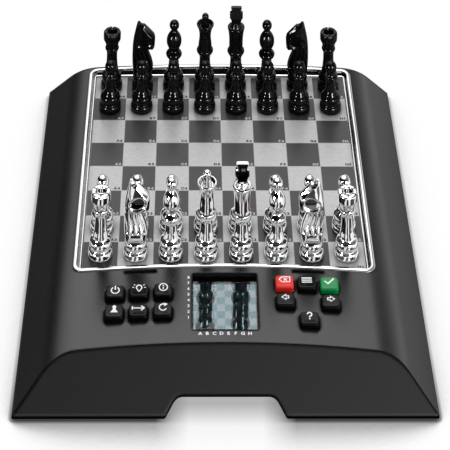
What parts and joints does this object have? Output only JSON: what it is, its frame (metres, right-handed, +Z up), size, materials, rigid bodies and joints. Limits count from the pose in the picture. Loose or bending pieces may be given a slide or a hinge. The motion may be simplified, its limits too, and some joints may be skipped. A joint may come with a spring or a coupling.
{
  "type": "electronic chess computer",
  "caption": "Arched table-top chess computer with a framed sensor board, a small display, push keys and a set of bright and black chess men that lift off.",
  "frame": {"origin": "on the table at the centre of the footprint", "axes": "+Z up, +Y towards the back, +X to the player's right"},
  "size_m": [0.279, 0.3099, 0.0934],
  "materials": {
    "casing": "fine moulded grain, satin",
    "cover": "moulded grain, matt",
    "bright_trim": "plated, polished",
    "board_print": "satin film printed with light and dark brushed squares",
    "circuit_board": "solder resist",
    "window": "polished, clear",
    "lcd": "pale grey-blue display in a dark frame",
    "silicone": "silicone, matt",
    "speaker_basket": "black lacquer",
    "cell_jacket": "plastic-sleeved cell",
    "contact_steel": "nickel-plated",
    "jack_plastic": "moulded",
    "foot_rubber": "matt",
    "screw_steel": "zinc-plated",
    "key_black": "satin black cap with a white symbol",
    "key_red": "satin red cap with a white symbol",
    "key_green": "satin green cap with a white symbol",
    "men_bright": "plated, polished",
    "men_black": "polished black"
  },
  "bodies": {
    "casing": {"top_shell": "casing", "bottom_cover": "cover", "board_frame": "bright_trim", "board_film": "board_print", "sensor_board": "circuit_board", "display_window": "window", "lcd_module": "lcd", "main_pcb": "circuit_board", "keypad_mat": "silicone", "speaker": "speaker_basket", "batteries": "cell_jacket", "battery_contacts": "contact_steel", "dc_jack": "jack_plastic", "rubber_feet": "foot_rubber", "case_screws": "screw_steel"},
    "battery_door": {"battery_door": "cover"},
    "key_power": {"key_power": "key_black"},
    "key_hint": {"key_hint": "key_black"},
    "key_info": {"key_info": "key_black"},
    "key_pawn": {"key_pawn": "key_black"},
    "key_move": {"key_move": "key_black"},
    "key_new": {"key_new": "key_black"},
    "key_clear": {"key_clear": "key_red"},
    "key_menu": {"key_menu": "key_black"},
    "key_enter": {"key_enter": "key_green"},
    "key_left": {"key_left": "key_black"},
    "key_right": {"key_right": "key_black"},
    "key_help": {"key_help": "key_black"},
    "white_rook_a": {"white_rook_a": "men_bright"},
    "white_knight_b": {"white_knight_b": "men_bright"},
    "white_bishop_c": {"white_bishop_c": "men_bright"},
    "white_queen": {"white_queen": "men_bright"},
    "white_king": {"white_king": "men_bright"},
    "white_bishop_f": {"white_bishop_f": "men_bright"},
    "white_knight_g": {"white_knight_g": "men_bright"},
    "white_rook_h": {"white_rook_h": "men_bright"},
    "white_pawn_a": {"white_pawn_a": "men_bright"},
    "white_pawn_b": {"white_pawn_b": "men_bright"},
    "white_pawn_c": {"white_pawn_c": "men_bright"},
    "white_pawn_d": {"white_pawn_d": "men_bright"},
    "white_pawn_e": {"white_pawn_e": "men_bright"},
    "white_pawn_f": {"white_pawn_f": "men_bright"},
    "white_pawn_g": {"white_pawn_g": "men_bright"},
    "white_pawn_h": {"white_pawn_h": "men_bright"},
    "black_rook_a": {"black_rook_a": "men_black"},
    "black_knight_b": {"black_knight_b": "men_black"},
    "black_bishop_c": {"black_bishop_c": "men_black"},
    "black_queen": {"black_queen": "men_black"},
    "black_king": {"black_king": "men_black"},
    "black_bishop_f": {"black_bishop_f": "men_black"},
    "black_knight_g": {"black_knight_g": "men_black"},
    "black_rook_h": {"black_rook_h": "men_black"},
    "black_pawn_a": {"black_pawn_a": "men_black"},
    "black_pawn_b": {"black_pawn_b": "men_black"},
    "black_pawn_c": {"black_pawn_c": "men_black"},
    "black_pawn_d": {"black_pawn_d": "men_black"},
    "black_pawn_e": {"black_pawn_e": "men_black"},
    "black_pawn_f": {"black_pawn_f": "men_black"},
    "black_pawn_g": {"black_pawn_g": "men_black"},
    "black_pawn_h": {"black_pawn_h": "men_black"}
  },
  "joints": [
    {"name": "slide_battery_door", "type": "slide", "parent": "casing", "child": "battery_door", "axis": [0, -1, 0], "range_m": [0, 0.008]},
    {"name": "press_key_power", "type": "slide", "parent": "casing", "child": "key_power", "axis": [0, 0, -1], "range_m": [0, 0.0012], "stiffness_N_per_m": 300, "springref_m": -0.0005},
    {"name": "press_key_hint", "type": "slide", "parent": "casing", "child": "key_hint", "axis": [0, 0, -1], "range_m": [0, 0.0012], "stiffness_N_per_m": 300, "springref_m": -0.0005},
    {"name": "press_key_info", "type": "slide", "parent": "casing", "child": "key_info", "axis": [0, 0, -1], "range_m": [0, 0.0012], "stiffness_N_per_m": 300, "springref_m": -0.0005},
    {"name": "press_key_pawn", "type": "slide", "parent": "casing", "child": "key_pawn", "axis": [0, 0, -1], "range_m": [0, 0.0012], "stiffness_N_per_m": 300, "springref_m": -0.0005},
    {"name": "press_key_move", "type": "slide", "parent": "casing", "child": "key_move", "axis": [0, 0, -1], "range_m": [0, 0.0012], "stiffness_N_per_m": 300, "springref_m": -0.0005},
    {"name": "press_key_new", "type": "slide", "parent": "casing", "child": "key_new", "axis": [0, 0, -1], "range_m": [0, 0.0012], "stiffness_N_per_m": 300, "springref_m": -0.0005},
    {"name": "press_key_clear", "type": "slide", "parent": "casing", "child": "key_clear", "axis": [0, 0, -1], "range_m": [0, 0.0012], "stiffness_N_per_m": 300, "springref_m": -0.0005},
    {"name": "press_key_menu", "type": "slide", "parent": "casing", "child": "key_menu", "axis": [0, 0, -1], "range_m": [0, 0.0012], "stiffness_N_per_m": 300, "springref_m": -0.0005},
    {"name": "press_key_enter", "type": "slide", "parent": "casing", "child": "key_enter", "axis": [0, 0, -1], "range_m": [0, 0.0012], "stiffness_N_per_m": 300, "springref_m": -0.0005},
    {"name": "press_key_left", "type": "slide", "parent": "casing", "child": "key_left", "axis": [0, 0, -1], "range_m": [0, 0.0012], "stiffness_N_per_m": 300, "springref_m": -0.0005},
    {"name": "press_key_right", "type": "slide", "parent": "casing", "child": "key_right", "axis": [0, 0, -1], "range_m": [0, 0.0012], "stiffness_N_per_m": 300, "springref_m": -0.0005},
    {"name": "press_key_help", "type": "slide", "parent": "casing", "child": "key_help", "axis": [0, 0, -1], "range_m": [0, 0.0012], "stiffness_N_per_m": 300, "springref_m": -0.0005},
    {"name": "lift_white_rook_a", "type": "slide", "parent": "casing", "child": "white_rook_a", "axis": [0, 0, 1], "range_m": [0, 0.07]},
    {"name": "lift_white_knight_b", "type": "slide", "parent": "casing", "child": "white_knight_b", "axis": [0, 0, 1], "range_m": [0, 0.07]},
    {"name": "lift_white_bishop_c", "type": "slide", "parent": "casing", "child": "white_bishop_c", "axis": [0, 0, 1], "range_m": [0, 0.07]},
    {"name": "lift_white_queen", "type": "slide", "parent": "casing", "child": "white_queen", "axis": [0, 0, 1], "range_m": [0, 0.07]},
    {"name": "lift_white_king", "type": "slide", "parent": "casing", "child": "white_king", "axis": [0, 0, 1], "range_m": [0, 0.07]},
    {"name": "lift_white_bishop_f", "type": "slide", "parent": "casing", "child": "white_bishop_f", "axis": [0, 0, 1], "range_m": [0, 0.07]},
    {"name": "lift_white_knight_g", "type": "slide", "parent": "casing", "child": "white_knight_g", "axis": [0, 0, 1], "range_m": [0, 0.07]},
    {"name": "lift_white_rook_h", "type": "slide", "parent": "casing", "child": "white_rook_h", "axis": [0, 0, 1], "range_m": [0, 0.07]},
    {"name": "lift_white_pawn_a", "type": "slide", "parent": "casing", "child": "white_pawn_a", "axis": [0, 0, 1], "range_m": [0, 0.07]},
    {"name": "lift_white_pawn_b", "type": "slide", "parent": "casing", "child": "white_pawn_b", "axis": [0, 0, 1], "range_m": [0, 0.07]},
    {"name": "lift_white_pawn_c", "type": "slide", "parent": "casing", "child": "white_pawn_c", "axis": [0, 0, 1], "range_m": [0, 0.07]},
    {"name": "lift_white_pawn_d", "type": "slide", "parent": "casing", "child": "white_pawn_d", "axis": [0, 0, 1], "range_m": [0, 0.07]},
    {"name": "lift_white_pawn_e", "type": "slide", "parent": "casing", "child": "white_pawn_e", "axis": [0, 0, 1], "range_m": [0, 0.07]},
    {"name": "lift_white_pawn_f", "type": "slide", "parent": "casing", "child": "white_pawn_f", "axis": [0, 0, 1], "range_m": [0, 0.07]},
    {"name": "lift_white_pawn_g", "type": "slide", "parent": "casing", "child": "white_pawn_g", "axis": [0, 0, 1], "range_m": [0, 0.07]},
    {"name": "lift_white_pawn_h", "type": "slide", "parent": "casing", "child": "white_pawn_h", "axis": [0, 0, 1], "range_m": [0, 0.07]},
    {"name": "lift_black_rook_a", "type": "slide", "parent": "casing", "child": "black_rook_a", "axis": [0, 0, 1], "range_m": [0, 0.07]},
    {"name": "lift_black_knight_b", "type": "slide", "parent": "casing", "child": "black_knight_b", "axis": [0, 0, 1], "range_m": [0, 0.07]},
    {"name": "lift_black_bishop_c", "type": "slide", "parent": "casing", "child": "black_bishop_c", "axis": [0, 0, 1], "range_m": [0, 0.07]},
    {"name": "lift_black_queen", "type": "slide", "parent": "casing", "child": "black_queen", "axis": [0, 0, 1], "range_m": [0, 0.07]},
    {"name": "lift_black_king", "type": "slide", "parent": "casing", "child": "black_king", "axis": [0, 0, 1], "range_m": [0, 0.07]},
    {"name": "lift_black_bishop_f", "type": "slide", "parent": "casing", "child": "black_bishop_f", "axis": [0, 0, 1], "range_m": [0, 0.07]},
    {"name": "lift_black_knight_g", "type": "slide", "parent": "casing", "child": "black_knight_g", "axis": [0, 0, 1], "range_m": [0, 0.07]},
    {"name": "lift_black_rook_h", "type": "slide", "parent": "casing", "child": "black_rook_h", "axis": [0, 0, 1], "range_m": [0, 0.07]},
    {"name": "lift_black_pawn_a", "type": "slide", "parent": "casing", "child": "black_pawn_a", "axis": [0, 0, 1], "range_m": [0, 0.07]},
    {"name": "lift_black_pawn_b", "type": "slide", "parent": "casing", "child": "black_pawn_b", "axis": [0, 0, 1], "range_m": [0, 0.07]},
    {"name": "lift_black_pawn_c", "type": "slide", "parent": "casing", "child": "black_pawn_c", "axis": [0, 0, 1], "range_m": [0, 0.07]},
    {"name": "lift_black_pawn_d", "type": "slide", "parent": "casing", "child": "black_pawn_d", "axis": [0, 0, 1], "range_m": [0, 0.07]},
    {"name": "lift_black_pawn_e", "type": "slide", "parent": "casing", "child": "black_pawn_e", "axis": [0, 0, 1], "range_m": [0, 0.07]},
    {"name": "lift_black_pawn_f", "type": "slide", "parent": "casing", "child": "black_pawn_f", "axis": [0, 0, 1], "range_m": [0, 0.07]},
    {"name": "lift_black_pawn_g", "type": "slide", "parent": "casing", "child": "black_pawn_g", "axis": [0, 0, 1], "range_m": [0, 0.07]},
    {"name": "lift_black_pawn_h", "type": "slide", "parent": "casing", "child": "black_pawn_h", "axis": [0, 0, 1], "range_m": [0, 0.07]}
  ]
}
